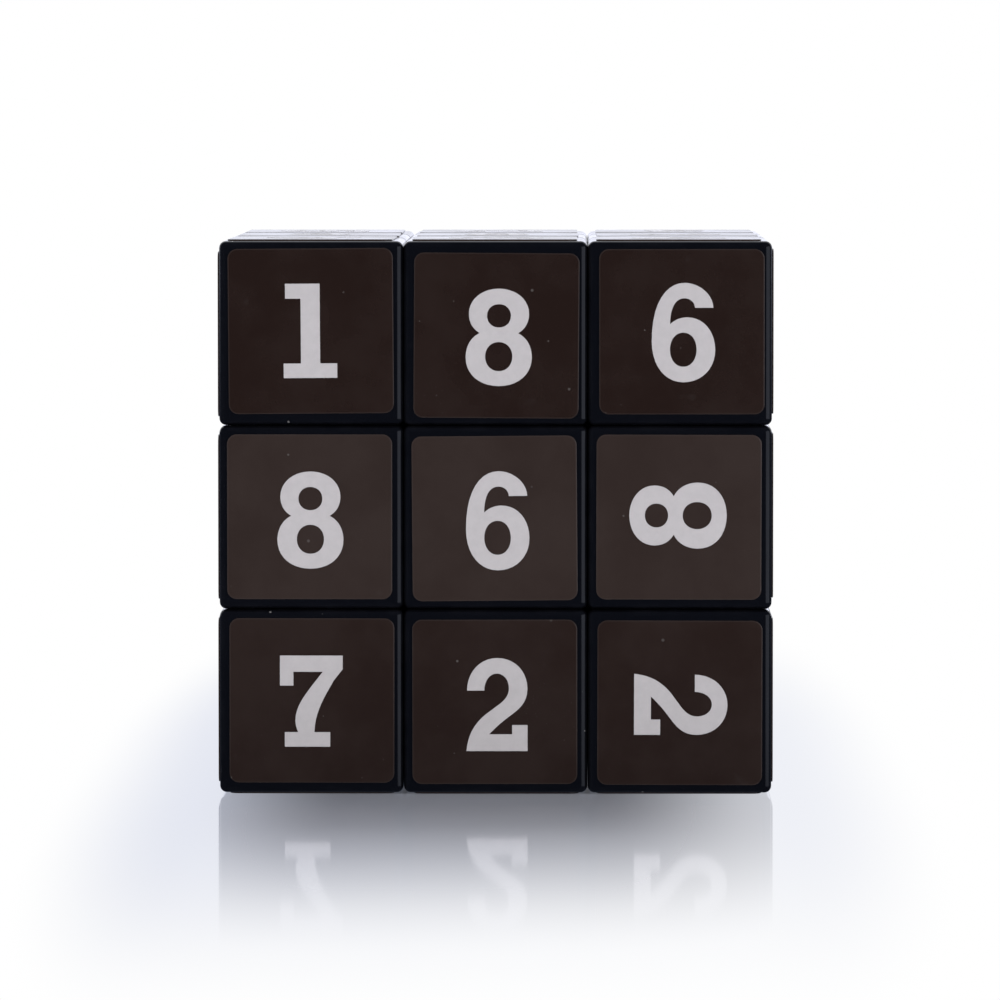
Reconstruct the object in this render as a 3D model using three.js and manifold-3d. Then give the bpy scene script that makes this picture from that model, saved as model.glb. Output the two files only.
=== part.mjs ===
// A three by three by three number puzzle cube. A six-armed core carries six sprung face centres. The twelve
// edges and eight corners hang on feet that hook under their neighbours, so that any face can turn on its arm.
// Millimetres, +Z up. The cube stands on Z = 0 with its middle over the origin, and its front looks along -Y.
import * as THREE from "three";
import { RoundedBoxGeometry } from "three/addons/geometries/RoundedBoxGeometry.js";
import { mergeVertices } from "three/addons/utils/BufferGeometryUtils.js";
import Module from "manifold-3d";

// Cubies
const CUBIE_PITCH = 19; // from the middle of one cubie to the next
const LAYER_GAP = 0.4; // open slit between neighbouring cubies
const EDGE_ROUND = 0.7; // rounding of a cubie's edges
const SHELL_WALL = 1.8; // wall of a hollow cubie
const VENT_RADIUS = 1.2; // air hole of a hollow cubie, on a side that its neighbour covers

// Feet and the ball-shaped track that they slide in
const RUNNING_GAP = 0.3; // between surfaces that slide past each other
const NECK_DEPTH = 2.2; // how far the ball surface stands above a corner's inmost point
const FOOT_DEPTH = 4.5; // thickness of a foot, along the radius

// Face centres
const CAP_PLATE = 1.8; // thickness of a centre's cap
const SKIRT_DEPTH = 2.2; // how far a cap's skirt reaches into the centre
const SKIRT_WALL = 1.2;
const SEAT_GAP = 0.1; // between pieces that sit on each other
const STEM_WALL = 1.6; // wall of the tube that holds the spring
const SHELF = 2.4; // floor of that tube, which the spring presses on

// Core
const HUB_RADIUS = 6.2;
const ARM_WALL = 2.2; // wall of an arm around its screw
const HUB_WEB = 1.2; // material left between crossing screw holes

// Screws, washers and springs
const SCREW_RADIUS = 1.5;
const SCREW_POINT = 1.2; // length of the tapered tip
const HEAD_HEIGHT = 2;
const HEAD_ROOM = 0.8; // free space between a screw head and the cap
const HEAD_STEP = 0.3; // rim of the washer that stands out past the head
const HEAD_CHAMFER = 0.5;
const DRIVE_WIDTH = 0.8; // arms of the cross recess
const DRIVE_DEPTH = 1.1;
const DRIVE_RIM = 0.9; // head left around the cross recess
const WASHER_RIM = 0.5; // washer past the outside of the spring
const WASHER_THICKNESS = 0.6;
const SPRING_WIRE = 0.7;
const SPRING_TURNS = 4;

// Stickers
const STICKER_MARGIN = 0.78; // plastic left bare around a sticker
const STICKER_ROUND = 1;
const STICKER_THICKNESS = 0.15;
const GLUE_LINE = 0.02;

// Facets of the round forms
const ROUND_STEPS = 1;
const BALL_DETAIL = 4;
const HUB_DETAIL = 1;
const TUBE_STEPS = 16;
const PIN_STEPS = 12;
const WIRE_STEPS_PER_TURN = 8;
const WIRE_SIDES = 5;
const STICKER_CORNER_STEPS = 2;
const CUT_PAST = 1; // how far a cutting tool runs past the face that it opens

// Places measured from the middle of the cube
const half = 1.5 * CUBIE_PITCH;
const layerFace = CUBIE_PITCH / 2 + LAYER_GAP / 2;
const sliceFace = CUBIE_PITCH / 2 - LAYER_GAP / 2;
const ballRadius = Math.sqrt(3) * layerFace + NECK_DEPTH;
const seatRadius = ballRadius + RUNNING_GAP / 2;
const footTop = ballRadius - RUNNING_GAP / 2;
const footBottom = footTop - FOOT_DEPTH;
const hollowFar = half - SHELL_WALL;

// Radii around an arm, from the screw outwards
const screwHole = SCREW_RADIUS + RUNNING_GAP;
const armRadius = screwHole + ARM_WALL;
const springMean = screwHole + SPRING_WIRE / 2;
const washerRadius = springMean + SPRING_WIRE / 2 + WASHER_RIM;
const headRadius = washerRadius - HEAD_STEP;
const wellRadius = washerRadius + RUNNING_GAP;
const stemRadius = wellRadius + STEM_WALL;

// Feet of an outer layer start past footNear, and feet of a middle slice end at footFar
const footPlane = Math.max(stemRadius, armRadius) + RUNNING_GAP;
const footNear = footPlane + RUNNING_GAP / 2;
const footFar = footPlane - RUNNING_GAP / 2;

// Heights along an arm, from the cap down to the hub
const capUnder = half - CAP_PLATE;
const bodyTop = capUnder - SEAT_GAP;
const headTop = capUnder - HEAD_ROOM;
const headUnder = headTop - HEAD_HEIGHT;
const washerTop = headUnder - SEAT_GAP;
const washerUnder = washerTop - WASHER_THICKNESS;
const springTop = washerUnder - SEAT_GAP;
const armEnd = sliceFace - RUNNING_GAP;
const shelfUnder = armEnd + RUNNING_GAP;
const shelfTop = shelfUnder + SHELF;
const springBottom = shelfTop + SEAT_GAP;
const boreBottom = screwHole + HUB_WEB;
const screwTip = boreBottom + RUNNING_GAP;
const cupFloor = seatRadius + SHELL_WALL;
const cupHalf = sliceFace - SHELL_WALL;
const skirtHalf = cupHalf - SEAT_GAP;

// The six faces by name, with the way that each looks
const FACES = {
  top: new THREE.Vector3(0, 0, 1),
  bottom: new THREE.Vector3(0, 0, -1),
  front: new THREE.Vector3(0, -1, 0),
  back: new THREE.Vector3(0, 1, 0),
  left: new THREE.Vector3(-1, 0, 0),
  right: new THREE.Vector3(1, 0, 0),
};
const UPRIGHT = ["top", "bottom"];
const DEPTHWISE = ["front", "back"];
const SIDEWAYS = ["left", "right"];

const wasm = await Module();
wasm.setup();

// A closed geometry as a solid that can be joined and cut
function solid(geometry) {
  geometry.deleteAttribute("normal");
  geometry.deleteAttribute("uv");
  const merged = mergeVertices(geometry);
  const corners = merged.index.array;
  const triangles = [];
  for (let i = 0; i < corners.length; i += 3) {
    const [a, b, c] = corners.slice(i, i + 3);
    const flattened = a === b || b === c || c === a;
    if (!flattened) triangles.push(a, b, c);
  }
  return new wasm.Manifold(new wasm.Mesh({
    numProp: 3,
    vertProperties: new Float32Array(merged.attributes.position.array),
    triVerts: new Uint32Array(triangles),
  }));
}

function geometryOf(body) {
  const { vertProperties, triVerts } = body.getMesh();
  const geometry = new THREE.BufferGeometry();
  geometry.setAttribute("position", new THREE.BufferAttribute(vertProperties, 3));
  geometry.setIndex(new THREE.BufferAttribute(triVerts, 1));
  geometry.computeVertexNormals();
  return geometry;
}

// A box geometry between two opposite corners, sharp or with rounded edges
function spanned(low, high, make) {
  const size = high.map((value, i) => value - low[i]);
  const middle = high.map((value, i) => (value + low[i]) / 2);
  return solid(make(...size).translate(...middle));
}

function box(low, high) {
  return spanned(low, high, (x, y, z) => new THREE.BoxGeometry(x, y, z));
}

function roundedBox(low, high) {
  return spanned(low, high, (x, y, z) => new RoundedBoxGeometry(x, y, z, ROUND_STEPS, EDGE_ROUND));
}

function ball(radius, detail = BALL_DETAIL) {
  return solid(new THREE.IcosahedronGeometry(radius, detail));
}

// A round bar along +Z, turned to look along another face where one is named
function bar(radius, from, to, steps, face = "top") {
  const geometry = new THREE.CylinderGeometry(radius, radius, to - from, steps);
  geometry.rotateX(Math.PI / 2).translate(0, 0, (from + to) / 2).applyQuaternion(turnTo(face));
  return solid(geometry);
}

// A profile of [radius, height] points, turned about Z
function turned(profile, steps) {
  const points = profile.map(([radius, height]) => new THREE.Vector2(radius, height));
  return solid(new THREE.LatheGeometry(points, steps).rotateX(Math.PI / 2));
}

function turnTo(face) {
  return new THREE.Quaternion().setFromUnitVectors(FACES.top, FACES[face]);
}

// The core: a hub with an arm to each face, drilled for its screw
function coreGeometry() {
  let core = ball(HUB_RADIUS, HUB_DETAIL);
  for (const face of Object.keys(FACES)) core = core.add(bar(armRadius, 0, armEnd, PIN_STEPS, face));
  for (const face of Object.keys(FACES)) {
    core = core.subtract(bar(screwHole, boreBottom, armEnd + CUT_PAST, PIN_STEPS, face));
  }
  return geometryOf(core);
}

// The block that a centre's body and cap are the two halves of, looking along +Z
function centreBlock() {
  return roundedBox([-sliceFace, -sliceFace, layerFace], [sliceFace, sliceFace, half]);
}

// A centre's body: an open cup with a round stem, whose tube takes the spring, washer and screw head
function centreGeometry() {
  const belowSeam = box([-half, -half, 0], [half, half, bodyTop]);
  const cup = box([-cupHalf, -cupHalf, cupFloor], [cupHalf, cupHalf, half]);
  const stem = bar(stemRadius, shelfUnder, bodyTop, TUBE_STEPS);
  const well = bar(wellRadius, shelfTop, half, TUBE_STEPS);
  const hole = bar(screwHole, shelfUnder - CUT_PAST, half, PIN_STEPS);
  const body = centreBlock().intersect(belowSeam).subtract(ball(seatRadius)).subtract(cup);
  return geometryOf(body.add(stem).subtract(well).subtract(hole));
}

// A centre's cap: the outer plate, with a square skirt that presses into the cup
function capGeometry() {
  const skirtInner = skirtHalf - SKIRT_WALL;
  const skirtEnd = capUnder - SKIRT_DEPTH;
  const aboveSeam = box([-half, -half, capUnder], [half, half, half + CUT_PAST]);
  const skirt = box([-skirtHalf, -skirtHalf, skirtEnd], [skirtHalf, skirtHalf, capUnder + CAP_PLATE / 2])
    .subtract(box([-skirtInner, -skirtInner, skirtEnd - CUT_PAST], [skirtInner, skirtInner, capUnder]))
    .subtract(bar(stemRadius + RUNNING_GAP, skirtEnd - CUT_PAST, capUnder, TUBE_STEPS));
  return geometryOf(centreBlock().intersect(aboveSeam).add(skirt));
}

// An edge, standing along X and looking along +Y and +Z, with its foot towards the core
function edgeGeometry() {
  const hollowNear = (seatRadius + SHELL_WALL) / Math.SQRT2;
  const hollowHalf = sliceFace - SHELL_WALL;
  const hollowMiddle = (hollowNear + hollowFar) / 2;
  const block = roundedBox([-sliceFace, layerFace, layerFace], [sliceFace, half, half]);
  const neck = box([-footFar, 0, 0], [footFar, half, half]);
  const foot = ball(footTop)
    .intersect(box([-footFar, footNear, footNear], [footFar, half, half]))
    .subtract(ball(footBottom));
  const hollow = box([-hollowHalf, hollowNear, hollowNear], [hollowHalf, hollowFar, hollowFar]);
  const vent = solid(
    new THREE.CylinderGeometry(VENT_RADIUS, VENT_RADIUS, hollowMiddle, PIN_STEPS)
      .translate(0, hollowMiddle / 2, hollowMiddle),
  );
  return geometryOf(block.subtract(ball(seatRadius).subtract(neck)).add(foot).subtract(hollow).subtract(vent));
}

// A corner, looking along +X, +Y and +Z, with its foot towards the core
function cornerGeometry() {
  const near = [layerFace, layerFace, layerFace];
  const far = [half, half, half];
  const hollowNear = layerFace + SHELL_WALL;
  const hollowMiddle = (hollowNear + hollowFar) / 2;
  const foot = ball(footTop).intersect(box([footNear, footNear, footNear], far)).subtract(ball(footBottom));
  const hollow = box([hollowNear, hollowNear, hollowNear], [hollowFar, hollowFar, hollowFar]);
  const vent = solid(
    new THREE.CylinderGeometry(VENT_RADIUS, VENT_RADIUS, hollowMiddle, PIN_STEPS)
      .translate(hollowMiddle, hollowMiddle / 2, hollowMiddle),
  );
  return geometryOf(roundedBox(near, far).add(foot).subtract(hollow).subtract(vent));
}

// A screw: tapered tip, plain shank and a round head with a cross recess
function screwGeometry() {
  const driveHalf = headRadius - DRIVE_RIM;
  const driveFloor = headTop - DRIVE_DEPTH;
  const screw = turned([
    [0, screwTip],
    [SCREW_RADIUS / 2, screwTip],
    [SCREW_RADIUS, screwTip + SCREW_POINT],
    [SCREW_RADIUS, headUnder],
    [headRadius, headUnder],
    [headRadius, headTop - HEAD_CHAMFER],
    [headRadius - HEAD_CHAMFER, headTop],
    [0, headTop],
  ], PIN_STEPS);
  const slot = [driveHalf, DRIVE_WIDTH / 2];
  const across = box([-slot[0], -slot[1], driveFloor], [slot[0], slot[1], headTop + CUT_PAST]);
  const along = box([-slot[1], -slot[0], driveFloor], [slot[1], slot[0], headTop + CUT_PAST]);
  return geometryOf(screw.subtract(across.add(along)));
}

function washerGeometry() {
  return geometryOf(turned([
    [screwHole, washerUnder],
    [washerRadius, washerUnder],
    [washerRadius, washerTop],
    [screwHole, washerTop],
    [screwHole, washerUnder],
  ], PIN_STEPS));
}

// Middle of the spring's wire at a share of its length, with the directions across it
function wireFrame(share) {
  const rise = springTop - springBottom - SPRING_WIRE;
  const angle = share * SPRING_TURNS * 2 * Math.PI;
  const out = new THREE.Vector3(Math.cos(angle), Math.sin(angle), 0);
  const along = new THREE.Vector3(-Math.sin(angle), Math.cos(angle), 0)
    .multiplyScalar(springMean * SPRING_TURNS * 2 * Math.PI)
    .setZ(rise)
    .normalize();
  const middle = out.clone().multiplyScalar(springMean).setZ(springBottom + SPRING_WIRE / 2 + share * rise);
  return { middle, out, up: along.cross(out).negate() };
}

// A spring: one unbroken wire, wound about Z
function springGeometry() {
  const steps = SPRING_TURNS * WIRE_STEPS_PER_TURN;
  const positions = [];
  const triangles = [];
  for (let step = 0; step <= steps; step += 1) {
    const { middle, out, up } = wireFrame(step / steps);
    for (let side = 0; side < WIRE_SIDES; side += 1) {
      const angle = (side / WIRE_SIDES) * 2 * Math.PI;
      const point = middle.clone()
        .addScaledVector(out, (Math.cos(angle) * SPRING_WIRE) / 2)
        .addScaledVector(up, (Math.sin(angle) * SPRING_WIRE) / 2);
      positions.push(...point.toArray());
    }
  }
  for (let step = 0; step < steps; step += 1) {
    for (let side = 0; side < WIRE_SIDES; side += 1) {
      const a = step * WIRE_SIDES + side;
      const b = step * WIRE_SIDES + ((side + 1) % WIRE_SIDES);
      triangles.push(a, a + WIRE_SIDES, b, b, a + WIRE_SIDES, b + WIRE_SIDES);
    }
  }
  const lastRing = steps * WIRE_SIDES;
  for (let side = 1; side < WIRE_SIDES - 1; side += 1) {
    triangles.push(0, side, side + 1);
    triangles.push(lastRing, lastRing + side + 1, lastRing + side);
  }
  const geometry = new THREE.BufferGeometry();
  geometry.setAttribute("position", new THREE.BufferAttribute(new Float32Array(positions), 3));
  geometry.setIndex(triangles);
  geometry.computeVertexNormals();
  return geometry;
}

// Least gap between neighbouring turns of a spring, measured on points along its wire
function springSelfGap() {
  const steps = SPRING_TURNS * WIRE_STEPS_PER_TURN;
  const points = Array.from({ length: steps + 1 }, (_, step) => wireFrame(step / steps).middle);
  let least = Infinity;
  for (let i = 0; i <= steps; i += 1) {
    for (let j = i + WIRE_STEPS_PER_TURN / 2; j <= steps; j += 1) {
      least = Math.min(least, points[i].distanceTo(points[j]) - SPRING_WIRE);
    }
  }
  return least;
}

// A sticker: a thin square with round corners, lying on the face that looks along +Z
function stickerGeometry() {
  const side = sliceFace - STICKER_MARGIN;
  const bend = side - STICKER_ROUND;
  const outline = new THREE.Shape();
  outline.absarc(bend, bend, STICKER_ROUND, 0, Math.PI / 2);
  outline.absarc(-bend, bend, STICKER_ROUND, Math.PI / 2, Math.PI);
  outline.absarc(-bend, -bend, STICKER_ROUND, Math.PI, 1.5 * Math.PI);
  outline.absarc(bend, -bend, STICKER_ROUND, 1.5 * Math.PI, 2 * Math.PI);
  const plate = new THREE.ExtrudeGeometry(outline, {
    depth: STICKER_THICKNESS,
    bevelEnabled: false,
    curveSegments: STICKER_CORNER_STEPS,
  });
  return geometryOf(solid(plate.translate(0, 0, half + GLUE_LINE)));
}

const blackPlastic = { color: 0x0b0b0e, roughness: 0.32, metalness: 0 };
const whitePlastic = { color: 0xd8d8d4, roughness: 0.5, metalness: 0 };
const steel = { color: 0xb4b6b8, roughness: 0.35, metalness: 1 };
const brownVinyl = { color: 0x2a211e, roughness: 0.3, metalness: 0 };

const cube = new THREE.Group();
cube.position.z = half;

// Adds one named piece, turned so that its own X, Y and Z look along the three directions given
function addPiece(name, geometry, finish, xAxis, yAxis, zAxis) {
  const piece = new THREE.Mesh(geometry, new THREE.MeshStandardMaterial(finish));
  piece.name = name;
  piece.quaternion.setFromRotationMatrix(new THREE.Matrix4().makeBasis(xAxis, yAxis, zAxis));
  cube.add(piece);
  return piece;
}

function addAlong(name, geometry, finish, face) {
  const turn = turnTo(face);
  const xAxis = new THREE.Vector3(1, 0, 0).applyQuaternion(turn);
  const yAxis = new THREE.Vector3(0, 1, 0).applyQuaternion(turn);
  return addPiece(name, geometry, finish, xAxis, yAxis, FACES[face]);
}

addAlong("core", coreGeometry(), whitePlastic, "top");

const armPieces = {
  centre: [centreGeometry(), blackPlastic],
  cap: [capGeometry(), blackPlastic],
  screw: [screwGeometry(), steel],
  washer: [washerGeometry(), steel],
  spring: [springGeometry(), steel],
};
for (const face of Object.keys(FACES)) {
  for (const [kind, [geometry, finish]] of Object.entries(armPieces)) {
    addAlong(`${kind}_${face}`, geometry, finish, face);
  }
}

const edgePairs = [[UPRIGHT, DEPTHWISE], [UPRIGHT, SIDEWAYS], [DEPTHWISE, SIDEWAYS]];
const edge = edgeGeometry();
for (const [firsts, seconds] of edgePairs) {
  for (const first of firsts) {
    for (const second of seconds) {
      const lengthwise = new THREE.Vector3().crossVectors(FACES[first], FACES[second]);
      addPiece(`edge_${first}_${second}`, edge, blackPlastic, lengthwise, FACES[first], FACES[second]);
    }
  }
}

const corner = cornerGeometry();
for (const upright of UPRIGHT) {
  for (const depthwise of DEPTHWISE) {
    for (const sideways of SIDEWAYS) {
      const looks = [FACES[sideways], FACES[depthwise], FACES[upright]];
      const rightHanded = new THREE.Vector3().crossVectors(looks[0], looks[1]).dot(looks[2]) > 0;
      if (!rightHanded) looks.reverse();
      addPiece(`corner_${upright}_${depthwise}_${sideways}`, corner, blackPlastic, ...looks);
    }
  }
}

// The nine stickers of the front face, one to a cubie
const sticker = stickerGeometry();
const stickerRows = { top: 1, middle: 0, bottom: -1 };
const stickerColumns = { left: -1, middle: 0, right: 1 };
for (const [row, up] of Object.entries(stickerRows)) {
  for (const [column, across] of Object.entries(stickerColumns)) {
    const piece = addAlong(`sticker_front_${row}_${column}`, sticker, brownVinyl, "front");
    piece.position.set(across * CUBIE_PITCH, 0, up * CUBIE_PITCH);
  }
}

console.log(`least gap between the turns of a spring: ${springSelfGap().toFixed(2)} mm`);

const part = new THREE.Group();
part.add(cube);

export default part;
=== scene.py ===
"""Looks of a scrambled sudoku cube: black mouldings, brown vinyl stickers and light grey slab numerals."""
import math
import random

import bmesh
import bpy
from mathutils import Matrix, Vector


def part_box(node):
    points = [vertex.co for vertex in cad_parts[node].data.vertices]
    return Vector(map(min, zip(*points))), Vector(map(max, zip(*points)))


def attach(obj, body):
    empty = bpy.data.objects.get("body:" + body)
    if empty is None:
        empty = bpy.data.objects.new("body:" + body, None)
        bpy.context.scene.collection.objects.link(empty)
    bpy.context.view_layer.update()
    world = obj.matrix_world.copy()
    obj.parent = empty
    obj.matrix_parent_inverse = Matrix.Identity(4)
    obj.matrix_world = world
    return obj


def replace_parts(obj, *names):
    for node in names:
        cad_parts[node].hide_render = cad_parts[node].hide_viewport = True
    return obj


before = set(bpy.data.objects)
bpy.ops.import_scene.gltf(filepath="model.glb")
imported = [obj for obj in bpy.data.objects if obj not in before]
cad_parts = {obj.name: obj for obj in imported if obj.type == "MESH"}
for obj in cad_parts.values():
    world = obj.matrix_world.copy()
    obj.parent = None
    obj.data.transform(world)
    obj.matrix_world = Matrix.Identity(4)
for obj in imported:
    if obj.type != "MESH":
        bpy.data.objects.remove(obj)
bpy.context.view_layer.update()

# Meshes are shaped in millimetres around the middle of the cube and then placed in metres.
MM = 0.001
HALF = (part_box("cap_top")[1].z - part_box("cap_bottom")[0].z) / 2 / MM
PITCH = HALF * 2 / 3
SLICE_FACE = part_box("cap_top")[1].x / MM
LAYER_FACE = PITCH - SLICE_FACE
FOOT_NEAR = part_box("corner_top_back_right")[0].x / MM
MIDDLE = Vector((0, 0, HALF * MM))

EDGE_ROUND = 0.7
ROUND_STEPS = 6
RIM_SPREAD = 1.5
OVERCUT = 1.0

# Between layers the mouldings are drawn together to a hairline, as they stand when the springs press them
SLIT = 0.04
LAYER_SIDE = (PITCH + SLIT) / 2
SLICE_SIDE = (PITCH - SLIT) / 2
RUNNING_GAP = 0.3
NECK_DEPTH = 2.2
FOOT_DEPTH = 4.5
SHELL_WALL = 1.8
VENT_RADIUS = 1.2
SEAT_RADIUS = math.sqrt(3) * LAYER_FACE + NECK_DEPTH + RUNNING_GAP / 2
FOOT_TOP = SEAT_RADIUS - RUNNING_GAP
FOOT_BOTTOM = FOOT_TOP - FOOT_DEPTH
FOOT_FAR = FOOT_NEAR - RUNNING_GAP

CAP_PLATE = 1.8
CAP_UNDER = HALF - CAP_PLATE
SKIRT_OUTER = 7.4
SKIRT_INNER = 6.2
SKIRT_DEPTH = 2.2
SKIRT_ROOT = 0.9

STICKER_MARGIN = 0.78
STICKER_HALF = SLICE_FACE - STICKER_MARGIN
STICKER_ROUND = 1.0
STICKER_THICKNESS = 0.15
STICKER_RIM = 0.05
RIM_KNEE = STICKER_RIM * 0.3
RIM_BLEND = 0.12
UNDERCUT = 0.01
GLUE_LINE = 0.02
INK_THICKNESS = 0.02

SPRING_WIRE = 0.7
SPRING_MEAN = 2.15
SPRING_TURNS = 4
SPRING_BOTTOM = 11.8
SPRING_TOP = 23.1

FACES = {
    "top": Vector((0, 0, 1)),
    "bottom": Vector((0, 0, -1)),
    "front": Vector((0, -1, 0)),
    "back": Vector((0, 1, 0)),
    "left": Vector((-1, 0, 0)),
    "right": Vector((1, 0, 0)),
}
UPRIGHT = ("top", "bottom")
DEPTHWISE = ("front", "back")
SIDEWAYS = ("left", "right")

# For each face, the way to its right and the way up, as someone who looks straight at it sees them
READING = {
    "front": (Vector((1, 0, 0)), Vector((0, 0, 1))),
    "back": (Vector((-1, 0, 0)), Vector((0, 0, 1))),
    "left": (Vector((0, -1, 0)), Vector((0, 0, 1))),
    "right": (Vector((0, 1, 0)), Vector((0, 0, 1))),
    "top": (Vector((1, 0, 0)), Vector((0, 1, 0))),
    "bottom": (Vector((1, 0, 0)), Vector((0, -1, 0))),
}


# Meshes


def mesh_from(bm, name):
    mesh = bpy.data.meshes.new(name)
    bm.to_mesh(mesh)
    bm.free()
    return mesh


def block(low, high, name, rounded=True):
    """A box between two corners, with its edges rounded where they are moulded."""
    low, high = Vector(low), Vector(high)
    bm = bmesh.new()
    bmesh.ops.create_cube(bm, size=1)
    bmesh.ops.scale(bm, vec=high - low, verts=bm.verts)
    bmesh.ops.translate(bm, vec=(low + high) / 2, verts=bm.verts)
    if rounded:
        bmesh.ops.bevel(
            bm, geom=bm.edges[:], offset=EDGE_ROUND, segments=ROUND_STEPS, profile=0.5, affect="EDGES"
        )
    return mesh_from(bm, name)


def ball(radius, name):
    bm = bmesh.new()
    bmesh.ops.create_icosphere(bm, subdivisions=5, radius=radius)
    return mesh_from(bm, name)


def bar(radius, low, high, name):
    """A round bar between two points that differ along Y or Z."""
    low, high = Vector(low), Vector(high)
    bm = bmesh.new()
    bmesh.ops.create_cone(
        bm, cap_ends=True, segments=32, radius1=radius, radius2=radius, depth=(high - low).length
    )
    turn = Vector((0, 0, 1)).rotation_difference(high - low).to_matrix()
    bmesh.ops.rotate(bm, matrix=turn, verts=bm.verts)
    bmesh.ops.translate(bm, vec=(low + high) / 2, verts=bm.verts)
    return mesh_from(bm, name)


def combined(mesh, tool, operation):
    """The mesh joined with, cut by, or kept inside a tool mesh."""
    scene = bpy.context.scene
    base = bpy.data.objects.new("base", mesh)
    cutter = bpy.data.objects.new("cutter", tool)
    scene.collection.objects.link(base)
    scene.collection.objects.link(cutter)
    modifier = base.modifiers.new("combine", "BOOLEAN")
    modifier.operation = operation
    modifier.object = cutter
    modifier.solver = "EXACT"
    made = bpy.data.meshes.new_from_object(base.evaluated_get(bpy.context.evaluated_depsgraph_get()))
    made.name = mesh.name
    for spent in (base, cutter):
        data = spent.data
        bpy.data.objects.remove(spent)
        bpy.data.meshes.remove(data)
    return made


def smooth(mesh, angle=32):
    mesh.shade_smooth()
    mesh.set_sharp_from_angle(angle=math.radians(angle))
    return mesh


def mark_rim(mesh, low, high):
    """Stores how far round a rounded edge each point lies, so that wear can follow the edges."""
    rim = mesh.attributes.new("rim", "FLOAT", "POINT")
    for vertex, entry in zip(mesh.vertices, rim.data):
        depths = []
        for axis in range(3):
            inside = min(vertex.co[axis] - low[axis], high[axis] - vertex.co[axis])
            depths.append(min(1, max(0, 1 - inside / EDGE_ROUND)))
        entry.value = min(1, sorted(depths)[1] * RIM_SPREAD)
    return mesh


def foot(low, high, name):
    """A foot: a thick piece of ball shell between flat sides."""
    shell = combined(ball(FOOT_TOP, name), block(low, high, "sides", rounded=False), "INTERSECT")
    return combined(shell, ball(FOOT_BOTTOM, "inside"), "DIFFERENCE")


def corner_mesh():
    """A corner that looks along +X, +Y and +Z, with its foot and its air hole."""
    low, high = (LAYER_SIDE,) * 3, (HALF,) * 3
    middle = (LAYER_FACE + HALF) / 2
    made = combined(block(low, high, "corner"), foot((FOOT_NEAR,) * 3, high, "corner_foot"), "UNION")
    vent = bar(VENT_RADIUS, (middle, 0, middle), (middle, LAYER_FACE + SHELL_WALL, middle), "vent")
    return smooth(mark_rim(combined(made, vent, "DIFFERENCE"), low, high))


def edge_mesh():
    """An edge along X that looks along +Y and +Z, with its ball track, foot and air hole."""
    low, high = (-SLICE_SIDE, LAYER_SIDE, LAYER_SIDE), (SLICE_SIDE, HALF, HALF)
    neck = block((-FOOT_FAR, 0, 0), (FOOT_FAR, HALF, HALF), "neck", rounded=False)
    seat = combined(ball(SEAT_RADIUS, "seat"), neck, "DIFFERENCE")
    made = combined(block(low, high, "edge"), seat, "DIFFERENCE")
    hook = foot((-FOOT_FAR, FOOT_NEAR, FOOT_NEAR), (FOOT_FAR, HALF, HALF), "edge_foot")
    made = combined(made, hook, "UNION")
    middle = ((SEAT_RADIUS + SHELL_WALL) / math.sqrt(2) + HALF - SHELL_WALL) / 2
    vent = bar(VENT_RADIUS, (0, 0, middle), (0, LAYER_FACE + SHELL_WALL, middle), "vent")
    return smooth(mark_rim(combined(made, vent, "DIFFERENCE"), low, high))


def cap_mesh():
    """The outer plate of a centre that looks along +Z, with its skirt."""
    low, high = (-SLICE_SIDE, -SLICE_SIDE, LAYER_SIDE), (SLICE_SIDE, SLICE_SIDE, HALF)
    above = block((-HALF, -HALF, CAP_UNDER), (HALF, HALF, HALF + OVERCUT), "above", rounded=False)
    plate = combined(block(low, high, "cap"), above, "INTERSECT")
    outer, inner = SKIRT_OUTER, SKIRT_INNER
    bottom, root = CAP_UNDER - SKIRT_DEPTH, CAP_UNDER + SKIRT_ROOT
    skirt = block((-outer, -outer, bottom), (outer, outer, root), "skirt", rounded=False)
    well = block((-inner, -inner, bottom - OVERCUT), (inner, inner, CAP_UNDER), "well", rounded=False)
    plate = combined(plate, combined(skirt, well, "DIFFERENCE"), "UNION")
    return smooth(mark_rim(plate, low, high))


def spring_mesh():
    """A round wire wound about Z."""
    steps_per_turn, sides = 40, 12
    steps = SPRING_TURNS * steps_per_turn
    rise = SPRING_TOP - SPRING_BOTTOM - SPRING_WIRE
    slope = rise / (2 * math.pi * SPRING_TURNS * SPRING_MEAN)
    bm = bmesh.new()
    rings = []
    for step in range(steps + 1):
        angle = 2 * math.pi * step / steps_per_turn
        out = Vector((math.cos(angle), math.sin(angle), 0))
        along = Vector((-math.sin(angle), math.cos(angle), slope))
        up = out.cross(along.normalized())
        height = SPRING_BOTTOM + SPRING_WIRE / 2 + rise * step / steps
        middle = out * SPRING_MEAN + Vector((0, 0, height))
        ring = []
        for side in range(sides):
            turn = 2 * math.pi * side / sides
            spoke = out * math.cos(turn) + up * math.sin(turn)
            ring.append(bm.verts.new(middle + spoke * SPRING_WIRE / 2))
        rings.append(ring)
    for near, far in zip(rings, rings[1:]):
        for side in range(sides):
            after = (side + 1) % sides
            bm.faces.new((near[side], near[after], far[after], far[side]))
    bm.faces.new(reversed(rings[0]))
    bm.faces.new(rings[-1])
    bmesh.ops.recalc_face_normals(bm, faces=bm.faces)
    return smooth(mesh_from(bm, "spring"))


def rounded_square(half, radius, steps=8):
    points = []
    for quarter in range(4):
        start = quarter * math.pi / 2
        sign_x = 1 if quarter in (0, 3) else -1
        sign_y = 1 if quarter in (0, 1) else -1
        for step in range(steps + 1):
            angle = start + step / steps * math.pi / 2
            x = sign_x * (half - radius) + radius * math.cos(angle)
            y = sign_y * (half - radius) + radius * math.sin(angle)
            points.append((x, y))
    return points


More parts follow.
